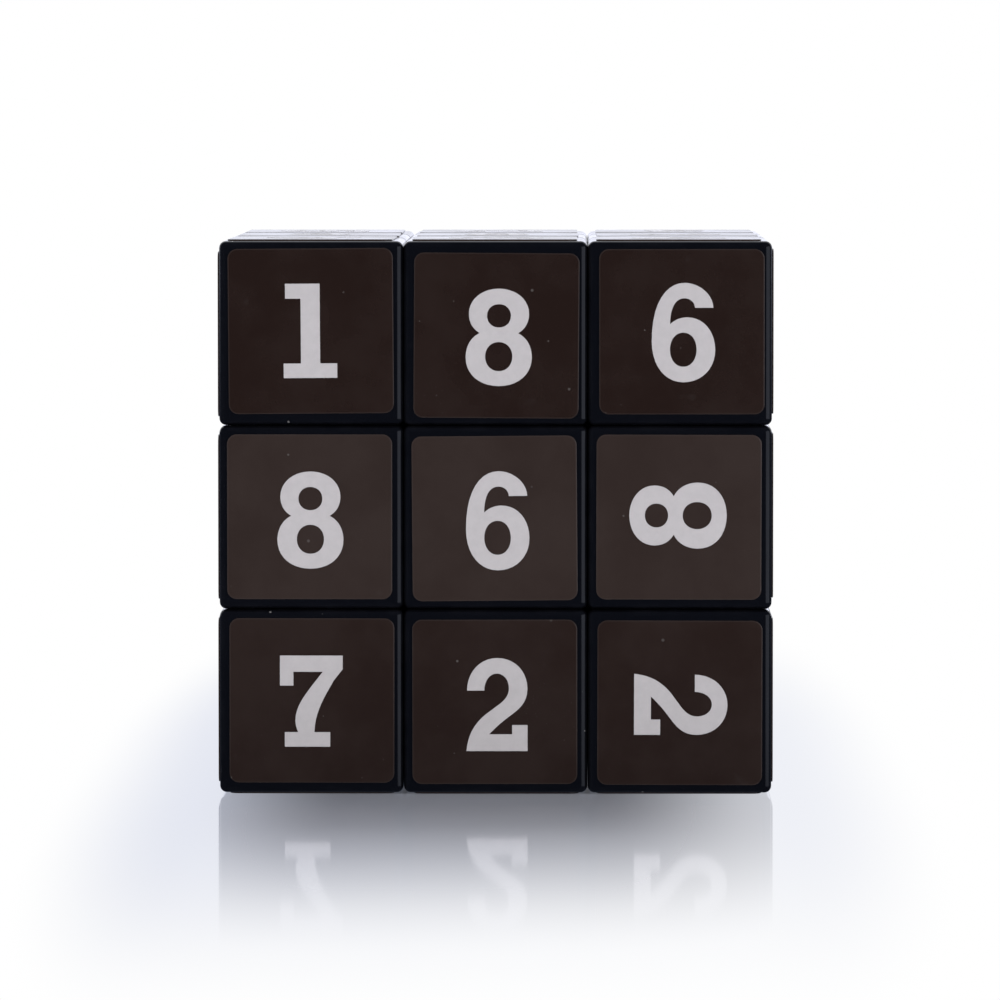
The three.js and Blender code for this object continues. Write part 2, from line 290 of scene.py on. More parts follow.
def sticker_mesh():
    """A thin vinyl square with round corners and a softly cut rim, lying on the plane Z = 0."""
    # Height, inset from the outline, share of the painted edge highlight
    levels = [
        (0, UNDERCUT, 0.0),
        (STICKER_THICKNESS - STICKER_RIM, 0, 1.0),
        (STICKER_THICKNESS - RIM_KNEE, RIM_KNEE, 1.0),
        (STICKER_THICKNESS, STICKER_RIM, 0.6),
        (STICKER_THICKNESS, STICKER_RIM + RIM_BLEND, 0.0),
    ]
    bm = bmesh.new()
    rim = bm.verts.layers.float.new("rim")
    loops = []
    for height, inset, share in levels:
        loop = []
        for x, y in rounded_square(STICKER_HALF - inset, STICKER_ROUND - inset):
            vertex = bm.verts.new((x, y, height))
            vertex[rim] = share
            loop.append(vertex)
        loops.append(loop)
    count = len(loops[0])
    for lower, upper in zip(loops, loops[1:]):
        for i in range(count):
            j = (i + 1) % count
            bm.faces.new((lower[i], lower[j], upper[j], upper[i]))
    bm.faces.new(reversed(loops[0]))
    bm.faces.new(loops[-1])
    return smooth(mesh_from(bm, "sticker"), 50)


# Outlines of the numerals, in millimetres from the middle of each numeral's box

# How full a quarter bow is: as on a circle, and the squarer ones of these numerals and of their holes
CIRCLE_BOW = 0.5523
SLAB_BOW = 0.57
HOLE_BOW = 0.585


def curve(points, *controls, steps=10):
    """Adds a cubic curve from the last point through two control points to an end point."""
    start = Vector(points[-1])
    first, second, end = (Vector(control) for control in controls)
    for step in range(1, steps + 1):
        t = step / steps
        u = 1 - t
        point = start * u**3 + first * 3 * u * u * t + second * 3 * u * t * t + end * t**3
        points.append((point.x, point.y))
    return points


def bow(points, *ends, full=CIRCLE_BOW):
    """Adds quarter bows: each ends at a point and says whether it leaves along X or along Y."""
    for x, y, leaves in ends:
        x0, y0 = points[-1]
        if leaves == "x":
            curve(points, (x0 + (x - x0) * full, y0), (x, y + (y0 - y) * full), (x, y))
        else:
            curve(points, (x0, y0 + (y - y0) * full), (x + (x0 - x) * full, y), (x, y))
    return points


def oval(x, y, half_width, half_height):
    points = [(x + half_width, y)]
    ends = [
        (x, y + half_height, "y"),
        (x - half_width, y, "x"),
        (x, y - half_height, "y"),
        (x + half_width, y, "x"),
    ]
    return bow(points, *ends, full=HOLE_BOW)[:-1]


def numeral_one():
    return [[
        (-2.56, 4.86), (1.01, 4.86), (1.01, -3.36), (2.76, -3.36), (2.76, -4.86),
        (-2.76, -4.86), (-2.76, -3.36), (-0.97, -3.36), (-0.97, 3.32), (-2.56, 3.32),
    ]]


def numeral_two():
    outline = [(-3.08, 1.45)]
    bow(outline, (0.05, 4.82, "y"), (3.15, 1.65, "x"), full=SLAB_BOW)
    curve(outline, (3.15, -0.25), (1.75, -0.75), (0.36, -1.95))
    curve(outline, (-0.05, -2.32), (-0.45, -2.7), (-0.81, -3.08))
    outline += [(1.57, -3.08), (1.57, -2.12), (3.16, -2.12), (3.16, -4.82), (-3.16, -4.82)]
    curve(outline, (-3.02, -3.6), (-2.72, -2.72), (-2.0, -1.85))
    curve(outline, (-1.35, -1.05), (-0.75, -0.75), (-0.11, -0.23))
    curve(outline, (0.8, 0.4), (1.24, 0.9), (1.24, 1.69))
    bow(outline, (0.0, 3.21, "y"), (-1.3, 1.45, "x"), full=SLAB_BOW)
    return [outline]


def numeral_three():
    outline = [(-2.95, 2.35)]
    bow(outline, (0.0, 4.95, "y"), (3.0, 2.4, "x"), full=SLAB_BOW)
    curve(outline, (3.0, 1.4), (2.6, 0.75), (1.9, 0.36))
    curve(outline, (2.8, -0.05), (3.3, -0.95), (3.3, -2.0))
    bow(outline, (0.0, -4.95, "y"), (-3.25, -2.15, "x"), full=SLAB_BOW)
    outline.append((-1.45, -2.15))
    bow(outline, (0.0, -3.4, "y"), (1.35, -2.0, "x"), (0.05, -0.55, "y"), full=SLAB_BOW)
    outline += [(-1.05, -0.55), (-1.05, 0.98), (0.0, 0.98)]
    bow(outline, (1.1, 2.2, "x"), (0.0, 3.4, "y"), (-1.2, 2.35, "x"), full=SLAB_BOW)
    return [outline]


def numeral_four():
    outline = [
        (0.35, 4.86), (2.3, 4.86), (2.3, -0.95), (3.3, -0.95), (3.3, -2.5), (2.3, -2.5), (2.3, -3.36),
        (3.3, -3.36), (3.3, -4.86), (-0.95, -4.86), (-0.95, -3.36), (0.4, -3.36), (0.4, -2.5),
        (-3.4, -2.5), (-3.4, -1.05),
    ]
    return [outline, [(0.4, -0.95), (0.4, 2.55), (-1.65, -0.95)]]


def numeral_five():
    outline = [(-2.7, 4.86), (2.85, 4.86), (2.85, 2.3), (1.4, 2.3), (1.4, 3.25), (-1.1, 3.25), (-1.2, 1.25)]
    curve(outline, (-0.7, 1.55), (-0.15, 1.7), (0.45, 1.7))
    bow(outline, (3.25, -1.6, "x"), (-0.05, -4.86, "y"), (-3.2, -2.2, "x"), full=SLAB_BOW)
    outline.append((-1.45, -2.2))
    bow(outline, (-0.05, -3.3, "y"), (1.35, -1.6, "x"), (0.1, 0.1, "y"), full=SLAB_BOW)
    curve(outline, (-0.5, 0.1), (-1.0, -0.15), (-1.4, -0.6))
    outline.append((-2.95, -0.6))
    return [outline]


def numeral_six():
    outline = [(3.07, 2.55)]
    bow(outline, (0.12, 5.12, "y"), full=0.52)
    curve(outline, (-1.75, 5.12), (-3.27, 3.15), (-3.27, -0.9))
    curve(outline, (-3.27, -3.5), (-1.85, -5.12), (0.0, -5.12))
    bow(outline, (3.27, -1.8, "x"), (0.4, 1.57, "y"), full=0.575)
    curve(outline, (-0.3, 1.57), (-0.95, 1.3), (-1.38, 0.85))
    curve(outline, (-1.36, 2.45), (-0.9, 3.53), (0.12, 3.53))
    bow(outline, (1.17, 2.55, "x"))
    return [outline, oval(-0.02, -1.76, 1.37, 1.76)]


def numeral_seven():
    outline = [
        (-1.35, -3.21), (-2.74, -3.21), (-2.74, -4.72), (1.95, -4.72), (1.95, -3.21), (0.32, -3.21),
    ]
    curve(outline, (0.36, -0.95), (1.62, 0.85), (2.3, 2.11))
    outline += [(3.24, 3.3), (3.24, 4.72), (-3.24, 4.72), (-3.24, 1.61)]
    outline += [(-1.85, 1.61), (-1.85, 3.04), (1.18, 3.04)]
    curve(outline, (-0.35, 1.05), (-1.645, -0.35), (-1.645, -1.97))
    curve(outline, (-1.645, -2.45), (-1.52, -2.85), (-1.35, -3.21))
    return [outline[:-1]]


def numeral_eight():
    outline = [(-1.98, 0.44)]
    curve(outline, (-2.7, 0.85), (-3.1, 1.55), (-3.1, 2.43))
    bow(outline, (0, 5.02, "y"), (3.1, 2.43, "x"), full=SLAB_BOW)
    curve(outline, (3.1, 1.55), (2.7, 0.85), (1.98, 0.44))
    curve(outline, (2.9, 0.0), (3.41, -0.95), (3.41, -2.05))
    bow(outline, (0, -5.02, "y"), (-3.41, -2.05, "x"), full=0.59)
    curve(outline, (-3.41, -0.95), (-2.9, 0.0), (-1.98, 0.44))
    return [outline[:-1], oval(0, 2.22, 1.23, 1.2), oval(0, -1.98, 1.4, 1.5)]


def numeral_nine():
    return [[(-x, -y) for x, y in loop] for loop in numeral_six()]


NUMERALS = {
    1: numeral_one,
    2: numeral_two,
    3: numeral_three,
    4: numeral_four,
    5: numeral_five,
    6: numeral_six,
    7: numeral_seven,
    8: numeral_eight,
    9: numeral_nine,
}


def numeral_mesh(digit):
    """A printed numeral as a thin film of ink on the plane Z = 0."""
    outline = bpy.data.curves.new(f"numeral_{digit}", "CURVE")
    outline.dimensions = "2D"
    outline.fill_mode = "BOTH"
    outline.extrude = INK_THICKNESS / 2
    for loop in NUMERALS[digit]():
        spline = outline.splines.new("POLY")
        spline.points.add(len(loop) - 1)
        spline.use_cyclic_u = True
        for point, (x, y) in zip(spline.points, loop):
            point.co = (x, y, 0, 1)
    holder = bpy.data.objects.new("numeral", outline)
    bpy.context.scene.collection.objects.link(holder)
    made = bpy.data.meshes.new_from_object(holder.evaluated_get(bpy.context.evaluated_depsgraph_get()))
    bpy.data.objects.remove(holder)
    bpy.data.curves.remove(outline)
    made.transform(Matrix.Translation((0, 0, INK_THICKNESS / 2)))
    made.name = f"numeral_{digit}"
    return made


# Materials


class Nodes:
    """Short calls for one node tree."""

    def __init__(self, tree):
        self.tree = tree

    def add(self, kind, inputs=None, **settings):
        node = self.tree.nodes.new(kind)
        for key, value in settings.items():
            setattr(node, key, value)
        for key, value in (inputs or {}).items():
            if isinstance(value, bpy.types.NodeSocket):
                self.tree.links.new(value, node.inputs[key])
            else:
                node.inputs[key].default_value = value
        return node

    def math(self, operation, first, second=0.0):
        return self.add("ShaderNodeMath", {0: first, 1: second}, operation=operation).outputs[0]

    def span(self, value, low, high, to_low=0.0, to_high=1.0, kind="SMOOTHSTEP"):
        inputs = {"Value": value, "From Min": low, "From Max": high, "To Min": to_low, "To Max": to_high}
        return self.add("ShaderNodeMapRange", inputs, interpolation_type=kind).outputs["Result"]

    def spread(self, noise, low, high):
        """Spreads the range in which most of a noise lies over two values."""
        return self.span(noise, 0.3, 0.7, low, high)

    def noise(self, vector, scale, detail, roughness=0.5):
        inputs = {"Vector": vector, "Scale": scale, "Detail": detail, "Roughness": roughness}
        return self.add("ShaderNodeTexNoise", inputs).outputs["Fac"]

    def blend(self, share, first, second):
        node = self.add("ShaderNodeMix", data_type="RGBA")
        for socket, value in zip((node.inputs[0], node.inputs[6], node.inputs[7]), (share, first, second)):
            if isinstance(value, bpy.types.NodeSocket):
                self.tree.links.new(value, socket)
            else:
                socket.default_value = value
        return node.outputs[2]


def group_of(name, outputs):
    """An empty shader node group that takes a place on the surface."""
    tree = bpy.data.node_groups.new(name, "ShaderNodeTree")
    tree.interface.new_socket("Place", in_out="INPUT", socket_type="NodeSocketVector")
    for output in outputs:
        tree.interface.new_socket(output, in_out="OUTPUT", socket_type="NodeSocketFloat")
    nodes = Nodes(tree)
    place = nodes.add("NodeGroupInput").outputs["Place"]
    return tree, nodes, place, nodes.add("NodeGroupOutput")


def moulded_grain_group():
    """Height of a moulded surface: a slow ripple with a fine grain on it."""
    tree, nodes, place, out = group_of("moulded_grain", ["Height"])
    ripple = nodes.noise(place, scale=260.0, detail=1.0)
    grain = nodes.noise(place, scale=7000.0, detail=3.0, roughness=0.6)
    height = nodes.add("ShaderNodeMath", {0: grain, 1: 0.16, 2: ripple}, operation="MULTIPLY_ADD")
    tree.links.new(height.outputs[0], out.inputs["Height"])
    return tree


def hairline_scuffs_group():
    """Share of fine scratches from handling, in patches."""
    tree, nodes, place, out = group_of("hairline_scuffs", ["Mask"])
    masks = []
    for turn, stretch in (((0.3, 0.5, 0.9), (1, 26, 1)), ((-0.6, 0.2, -0.5), (22, 1, 22))):
        lay = nodes.add("ShaderNodeMapping", {"Vector": place, "Rotation": turn, "Scale": stretch})
        lines = nodes.noise(lay.outputs["Vector"], scale=320.0, detail=2.0, roughness=0.6)
        masks.append(nodes.span(lines, 0.66, 0.76))
    patches = nodes.span(nodes.noise(place, scale=95.0, detail=2.0), 0.45, 0.7)
    tree.links.new(nodes.math("MULTIPLY", nodes.math("MAXIMUM", *masks), patches), out.inputs["Mask"])
    return tree


def dust_specks_group():
    """Share of dust: single small specks, few and of different sizes."""
    tree, nodes, place, out = group_of("dust_specks", ["Mask"])
    cells = nodes.add("ShaderNodeTexVoronoi", {"Vector": place, "Scale": 520.0, "Randomness": 1.0})
    pick = nodes.add("ShaderNodeSeparateColor", {"Color": cells.outputs["Color"]})
    size = nodes.span(pick.outputs["Red"], 0.6, 1.0, 0.0, 0.085, "LINEAR")
    near = nodes.math("LESS_THAN", cells.outputs["Distance"], size)
    tree.links.new(nodes.math("MULTIPLY", near, pick.outputs["Green"]), out.inputs["Mask"])
    return tree


def edge_wear_group():
    """Share of polish and wear along the rounded edges, uneven along their length."""
    tree, nodes, place, out = group_of("edge_wear", ["Mask"])
    rim = nodes.add("ShaderNodeAttribute", attribute_name="rim").outputs["Fac"]
    uneven = nodes.span(nodes.noise(place, scale=210.0, detail=4.0, roughness=0.65), 0.35, 0.75)
    tree.links.new(nodes.math("MULTIPLY", rim, uneven), out.inputs["Mask"])
    return tree


GRAIN = moulded_grain_group()
SCUFFS = hairline_scuffs_group()
DUST = dust_specks_group()
WEAR = edge_wear_group()


class Finish(Nodes):
    """A material with a Principled surface, whose place is the piece's own rest position."""

    def __init__(self, name):
        self.material = bpy.data.materials.new(name)
        self.material.use_nodes = True
        super().__init__(self.material.node_tree)
        self.tree.nodes.clear()
        self.surface = self.add("ShaderNodeBsdfPrincipled")
        out = self.add("ShaderNodeOutputMaterial")
        self.tree.links.new(self.surface.outputs["BSDF"], out.inputs["Surface"])
        self.place = self.add("ShaderNodeTexCoord").outputs["Object"]

    def shared(self, tree, output):
        node = self.add("ShaderNodeGroup", node_tree=tree)
        self.tree.links.new(self.place, node.inputs["Place"])
        return node.outputs[output]

    def set(self, **values):
        names = {
            "colour": "Base Color",
            "rough": "Roughness",
            "metal": "Metallic",
            "ior": "IOR",
            "normal": "Normal",
            "shine": "Specular Tint",
        }
        for key, value in values.items():
            socket = self.surface.inputs[names[key]]
            if isinstance(value, bpy.types.NodeSocket):
                self.tree.links.new(value, socket)
            else:
                socket.default_value = value

    def bump(self, height, depth):
        inputs = {"Height": height, "Strength": 1.0, "Distance": depth}
        return self.add("ShaderNodeBump", inputs).outputs["Normal"]


def black_moulding():
    """Glossy black styrene with a cold tint, polished and greyed along its edges."""
    finish = Finish("black_moulding")
    scuffs = finish.shared(SCUFFS, "Mask")
    wear = finish.shared(WEAR, "Mask")
    tone = finish.noise(finish.place, scale=70.0, detail=3.0)
    colour = finish.blend(tone, (0.0012, 0.0013, 0.0022, 1), (0.0026, 0.0027, 0.004, 1))
    colour = finish.blend(finish.math("MULTIPLY", wear, 0.3), colour, (0.012, 0.0125, 0.016, 1))
    colour = finish.blend(finish.math("MULTIPLY", scuffs, 0.25), colour, (0.02, 0.02, 0.024, 1))
    colour = finish.blend(finish.shared(DUST, "Mask"), colour, (0.5, 0.49, 0.48, 1))
    rough = finish.spread(tone, 0.1, 0.15)
    rough = finish.math("ADD", rough, finish.math("MULTIPLY", scuffs, 0.2))
    normal = finish.bump(finish.shared(GRAIN, "Height"), depth=0.000006)
    finish.set(colour=colour, rough=rough, ior=1.5, shine=(0.84, 0.88, 1.0, 1), normal=normal)
    return finish.material


def brown_vinyl():
    """Laminated dark brown vinyl that lies slightly uneven, with painted light in its colour: paler by row
    on the front, and a paler rim painted as an edge highlight.
    """
    finish = Finish("brown_vinyl")
    scuffs = finish.shared(SCUFFS, "Mask")
    tone = finish.noise(finish.place, scale=120.0, detail=4.0, roughness=0.6)
    # Paleness of each sticker: painted light by row on the front stickers, a random fading on the others
    fading_and_painted_light = finish.add("ShaderNodeAttribute", attribute_type="OBJECT", attribute_name="fading_and_painted_light")
    share = finish.math("ADD", fading_and_painted_light.outputs["Fac"], finish.spread(tone, -0.15, 0.15))
    colour = finish.blend(share, (0.0148, 0.0078, 0.0056, 1), (0.0333, 0.0231, 0.0195, 1))
    rim = finish.add("ShaderNodeAttribute", attribute_name="rim").outputs["Fac"]
    # Painted edge highlight: paler colour along the sticker's rim
    colour = finish.blend(finish.math("MULTIPLY", rim, 0.35), colour, (0.06, 0.05, 0.047, 1))
    colour = finish.blend(finish.math("MULTIPLY", scuffs, 0.2), colour, (0.06, 0.052, 0.05, 1))
    colour = finish.blend(finish.shared(DUST, "Mask"), colour, (0.5, 0.48, 0.46, 1))
    rough = finish.spread(tone, 0.12, 0.18)
    rough = finish.math("ADD", rough, finish.math("MULTIPLY", scuffs, 0.15))
    normal = finish.bump(finish.shared(GRAIN, "Height"), depth=0.00001)
    finish.set(colour=colour, rough=rough, ior=1.45, shine=(0.92, 0.92, 1.0, 1), normal=normal)
    return finish.material


def grey_ink():
    """Light grey print under the gloss film, dense but with a faint mottle."""
    finish = Finish("grey_ink")
    mottle = finish.noise(finish.place, scale=900.0, detail=4.0, roughness=0.7)
    share = finish.spread(mottle, 0.0, 1.0)
    colour = finish.blend(share, (0.47, 0.449, 0.457, 1), (0.498, 0.477, 0.484, 1))
    scuffs = finish.shared(SCUFFS, "Mask")
    colour = finish.blend(finish.math("MULTIPLY", scuffs, 0.15), colour, (0.3, 0.27, 0.27, 1))
    normal = finish.bump(mottle, depth=0.000004)
    finish.set(colour=colour, rough=finish.spread(mottle, 0.15, 0.22), ior=1.45, normal=normal)
    return finish.material


def white_core():
    """The off-white inner moulding, with an uneven tone and roughness."""
    finish = Finish("white_core")
    tone = finish.noise(finish.place, scale=160.0, detail=3.0)
    colour = finish.blend(tone, (0.62, 0.61, 0.57, 1), (0.72, 0.71, 0.68, 1))
    normal = finish.bump(finish.shared(GRAIN, "Height"), depth=0.000008)
    finish.set(colour=colour, rough=finish.spread(tone, 0.4, 0.55), ior=1.5, normal=normal)
    return finish.material


def bright_steel():
    """Plated steel of the screws and washers."""
    finish = Finish("bright_steel")
    tone = finish.noise(finish.place, scale=700.0, detail=3.0)
    colour = finish.blend(tone, (0.5, 0.5, 0.5, 1), (0.62, 0.62, 0.61, 1))
    scuffs = finish.shared(SCUFFS, "Mask")
    rough = finish.spread(tone, 0.22, 0.34)
    rough = finish.math("ADD", rough, finish.math("MULTIPLY", scuffs, 0.2))
    finish.set(colour=colour, rough=rough, metal=1.0)
    return finish.material


def spring_wire():
    """Drawn spring wire, darker than the plated steel."""
    finish = Finish("spring_wire")
    tone = finish.noise(finish.place, scale=1500.0, detail=2.0)
    colour = finish.blend(tone, (0.3, 0.3, 0.31, 1), (0.42, 0.42, 0.43, 1))
    finish.set(colour=colour, rough=finish.spread(tone, 0.25, 0.4), metal=1.0)
    return finish.material


BLACK = black_moulding()
VINYL = brown_vinyl()
INK = grey_ink()
CORE = white_core()
STEEL = bright_steel()
WIRE = spring_wire()


# Pieces


def placed(name, mesh, turn, body, material):
    """A copy of a shape that is turned about the middle of the cube, on the body that it rides."""
    data = mesh.copy()
    data.transform(Matrix.Translation(MIDDLE) @ Matrix.Scale(MM, 4) @ turn)
    data.materials.clear()
    data.materials.append(material)
    piece = bpy.data.objects.new(name, data)
    bpy.context.scene.collection.objects.link(piece)
    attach(piece, body)
    return piece


def crisp(piece):
    """Keeps flat sides flat where they run into rounded edges."""
    modifier = piece.modifiers.new("flat_sides", "WEIGHTED_NORMAL")
    modifier.keep_sharp = True
    modifier.weight = 80
    return piece


def basis(x_axis, y_axis, z_axis):
    return Matrix((x_axis, y_axis, z_axis)).transposed().to_4x4()


def face_turn(face):
    return Vector((0, 0, 1)).rotation_difference(FACES[face]).to_matrix().to_4x4()


def add_corners():
    mesh = corner_mesh()
    for upright in UPRIGHT:
        for depthwise in DEPTHWISE:
            for sideways in SIDEWAYS:
                node = f"corner_{upright}_{depthwise}_{sideways}"
                looks = [FACES[sideways], FACES[depthwise], FACES[upright]]
                if looks[0].cross(looks[1]).dot(looks[2]) < 0:
                    looks.reverse()
                piece = placed(node + "_moulding", mesh, basis(*looks), node, BLACK)
                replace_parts(crisp(piece), node)


def add_edges():
    mesh = edge_mesh()
    for firsts, seconds in ((UPRIGHT, DEPTHWISE), (UPRIGHT, SIDEWAYS), (DEPTHWISE, SIDEWAYS)):
        for first in firsts:
            for second in seconds:
                node = f"edge_{first}_{second}"
                looks = (FACES[first].cross(FACES[second]), FACES[first], FACES[second])
                piece = placed(node + "_moulding", mesh, basis(*looks), node, BLACK)
                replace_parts(crisp(piece), node)


def add_centres():
    cap, spring = cap_mesh(), spring_mesh()
    for face in FACES:
        piece = placed(f"cap_{face}_moulding", cap, face_turn(face), f"face_{face}", BLACK)
        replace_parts(crisp(piece), f"cap_{face}")
        piece = placed(f"spring_{face}_wire", spring, face_turn(face), "core", WIRE)
        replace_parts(piece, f"spring_{face}")


def finish_inner_nodes():
    """Gives the carried-over nodes inside the cube their finishes."""
    finishes = {
        "core": (CORE, "core"),
        "screw": (STEEL, "steel"),
        "washer": (STEEL, "steel"),
        "centre": (BLACK, "body"),
    }
    for name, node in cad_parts.items():
        material, slot = finishes.get(name.split("_")[0], (None, None))
        if material:
            node.data.materials.clear()
            node.data.materials.append(material)


def cubie_body(place):
    """The body that carries the cubie at a place whose numbers are -1, 0 or 1."""
    names = []
    if place.z:
        names.append("top" if place.z > 0 else "bottom")
    if place.y:
        names.append("back" if place.y > 0 else "front")
    if place.x:
        names.append("right" if place.x > 0 else "left")
    return {1: "face_", 2: "edge_", 3: "corner_"}[len(names)] + "_".join(names)


ROWS = {1: "top", 0: "middle", -1: "bottom"}
COLUMNS = {-1: "left", 0: "middle", 1: "right"}

# How pale the brown is: painted light set by row on the front, and the range of a random fading on the
# other faces
FRONT_ROW_PAINTED_LIGHT = {1: 0.08, 0: 0.86, -1: 0.3}
UNSEEN_FADED = (0.2, 0.8)

# How far hand-laid stickers may be off, in degrees and millimetres, and the print on them
STICKER_SKEW = 0.5
STICKER_DRIFT = 0.12
PRINT_DRIFT = 0.25

LAYOUT_SEED = 19
SKEW_SEED = 54
FADING_SEED = 27

# Front stickers from top left to bottom right: the numeral, its turn in degrees,
# the shift of the sticker and the shift of the numeral on it in millimetres
FRONT = [
    (1, 0, (-0.03, 0.24), (-0.06, 0.03)),
    (8, 0, (0.1, -0.22), (0.25, -0.18)),
    (6, 0, (0.2, 0.18), (0.16, -0.08)),
    (8, 0, (-0.17, 0.07), (0.08, -0.33)),
    (6, 0, (-0.09, -0.08), (0.31, -0.24)),
    (8, 90, (-0.08, 0.05), (-0.1, 0.18)),
    (7, 0, (0.04, 0.07), (-0.06, -0.06)),
    (2, 0, (-0.07, -0.06), (0.22, -0.27)),
    (2, -90, (0.03, -0.14), (0.1, -0.16)),
]


def unseen_stickers():
    """Numerals for the other five faces, so that each of the nine is on the cube six times."""
    layout = random.Random(LAYOUT_SEED)

    def drift(reach):
        return layout.uniform(-reach, reach), layout.uniform(-reach, reach)

    digits = [digit for digit in NUMERALS for _ in FACES]
    for digit, *_ in FRONT:
        digits.remove(digit)
    layout.shuffle(digits)
    for digit in digits:
        sticker_shift = drift(STICKER_DRIFT)
        numeral_shift = drift(PRINT_DRIFT)
        yield digit, layout.choice((0, 90, 180, -90)), sticker_shift, numeral_shift


def add_stickers():
    sticker = sticker_mesh()
    numerals = {digit: numeral_mesh(digit) for digit in NUMERALS}
    unseen = unseen_stickers()
    skew = random.Random(SKEW_SEED)
    fading = random.Random(FADING_SEED)
    for face, (across, up) in READING.items():
        for row in ROWS:
            for column in COLUMNS:
                number = (1 - row) * 3 + column + 1
                digit, turn, shift, print_shift = FRONT[number] if face == "front" else next(unseen)
                place = FACES[face] + across * column + up * row
                body = cubie_body(place)
                flat = basis(across, up, FACES[face])
                middle = (column * PITCH + shift[0], row * PITCH + shift[1], HALF + GLUE_LINE)
                askew = math.radians(skew.uniform(-STICKER_SKEW, STICKER_SKEW))
                lie = flat @ Matrix.Translation(middle) @ Matrix.Rotation(askew, 4, "Z")
                spot = f"{face}_{ROWS[row]}_{COLUMNS[column]}"
                piece = placed(f"vinyl_{spot}", sticker, lie, body, VINYL)
                # Front stickers carry painted light by row; the other faces a random fading
                piece["fading_and_painted_light"] = FRONT_ROW_PAINTED_LIGHT[row] if face == "front" else fading.uniform(*UNSEEN_FADED)
                if face == "front":
                    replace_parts(piece, f"sticker_{spot}")
                printed = Matrix.Translation((*print_shift, STICKER_THICKNESS))
                printed = lie @ printed @ Matrix.Rotation(math.radians(turn), 4, "Z")
                placed(f"numeral_{spot}_{digit}", numerals[digit], printed, body, INK)


add_corners()
add_edges()
add_centres()
finish_inner_nodes()
add_stickers()


# Floor, light and camera, in metres

FLOOR_RADIUS = 0.25
FLOOR_DROP = 0.0002

# How far from the cube the floor's mirror image, painted shadow and painted bluish shade reach
MIRROR_FULL = 0.03
MIRROR_REACH = 0.145
SHADOW_REACH = 0.115
PAINTED_SHADE_REACH = 0.2

# How much faster each of them fades beside, before and behind the cube
MIRROR_STRETCH = (4, 1, 1)
SHADOW_STRETCH = (7, 1, 2)
PAINTED_SHADE_STRETCH = (11.8, 1, 1)

# The painted shadow is narrower than the cube and lies more to the left, away from the stronger light
SHADOW_INSET = 0.0158
SHADOW_SHIFT = 0.0024

MIRROR_SHARE = 0.43
MIRROR_ROUGHNESS = 0.06
SHADOW_LIGHT = 0.13
# How strong the painted shade is on the right side, against the left
PAINTED_SHADE_ON_RIGHT = 0.55

SKY_FRONT = (0.05, 0.06, 0.085, 1)
SKY_BEHIND = (0.94, 0.955, 1.0, 1)
SKY_HORIZON = (1.4, 1.44, 1.74, 1)
HORIZON_HEIGHT = 0.02
SKY_IN_GLOSS = 0.25

# Each lamp's place, size, power, colour, and whether glossy sides mirror it
LAMPS = {
    "right_softbox": ((1.0, -0.9, 0.2), (1.7, 0.7), 2.6, (0.94, 0.96, 1.0), True),
    "right_fill": ((0.85, -1.0, 0.2), (0.9, 0.6), 10.2, (1.0, 0.985, 0.975), False),
    "left_fill": ((-0.85, -1.0, 0.2), (0.9, 0.6), 11.3, (1.0, 0.985, 0.975), False),
    "back_fill": ((0.1, 0.8, 0.9), (0.9, 0.6), 6.5, (0.97, 0.98, 1.0), False),
}

CAMERA_PLACE = (0.00827, -0.7928, 0.07218)
CAMERA_LENS = 267.2
CAMERA_SENSOR = 36
LOOKS_DOWN = 3.135
LOOKS_LEFT = 0.585


